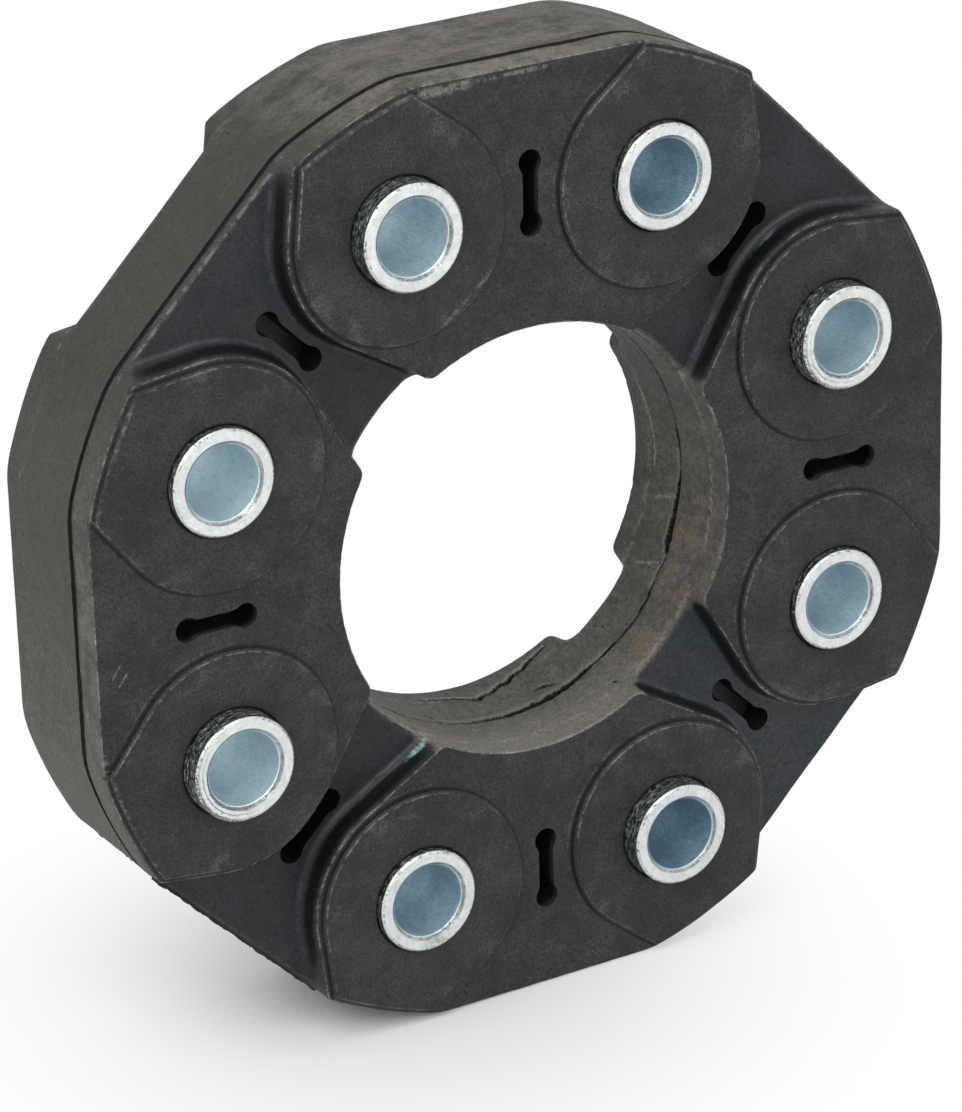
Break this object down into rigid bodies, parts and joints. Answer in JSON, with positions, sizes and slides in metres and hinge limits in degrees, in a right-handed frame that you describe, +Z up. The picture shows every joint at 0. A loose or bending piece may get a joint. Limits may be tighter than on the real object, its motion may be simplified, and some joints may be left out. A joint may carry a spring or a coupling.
{
  "type": "driveshaft flex disc",
  "caption": "Thick rubber coupling disc with flats round its rim, an open middle, raised bosses, narrow slots, steel bolt sleeves and buried cord loops, for a driveshaft.",
  "frame": {"origin": "the middle of the disc, on its axis and halfway through its thickness", "axes": "+Y along the axis of the disc toward its rear, +Z up from the flat that it stands on"},
  "size_m": [0.1546, 0.0366, 0.1546],
  "materials": {
    "rubber": "matt moulded rubber, grey with bloom round the rim",
    "steel": "zinc plated, fine turned",
    "cord": "wound cord",
    "collar": "moulded plastic"
  },
  "bodies": {
    "root": {"rubber_body": "rubber", "sleeve_1": "steel", "sleeve_2": "steel", "sleeve_3": "steel", "sleeve_4": "steel", "sleeve_5": "steel", "sleeve_6": "steel", "sleeve_7": "steel", "sleeve_8": "steel", "middle_collar_1": "collar", "middle_collar_2": "collar", "middle_collar_3": "collar", "middle_collar_4": "collar", "middle_collar_5": "collar", "middle_collar_6": "collar", "middle_collar_7": "collar", "middle_collar_8": "collar", "front_collar_1": "collar", "front_collar_2": "collar", "front_collar_3": "collar", "front_collar_4": "collar", "front_collar_5": "collar", "front_collar_6": "collar", "front_collar_7": "collar", "front_collar_8": "collar", "rear_collar_1": "collar", "rear_collar_2": "collar", "rear_collar_3": "collar", "rear_collar_4": "collar", "rear_collar_5": "collar", "rear_collar_6": "collar", "rear_collar_7": "collar", "rear_collar_8": "collar", "front_loop_1": "cord", "front_loop_2": "cord", "front_loop_3": "cord", "front_loop_4": "cord", "rear_loop_1": "cord", "rear_loop_2": "cord", "rear_loop_3": "cord", "rear_loop_4": "cord", "middle_loop_1": "cord", "middle_loop_2": "cord", "middle_loop_3": "cord", "middle_loop_4": "cord"}
  },
  "joints": []
}
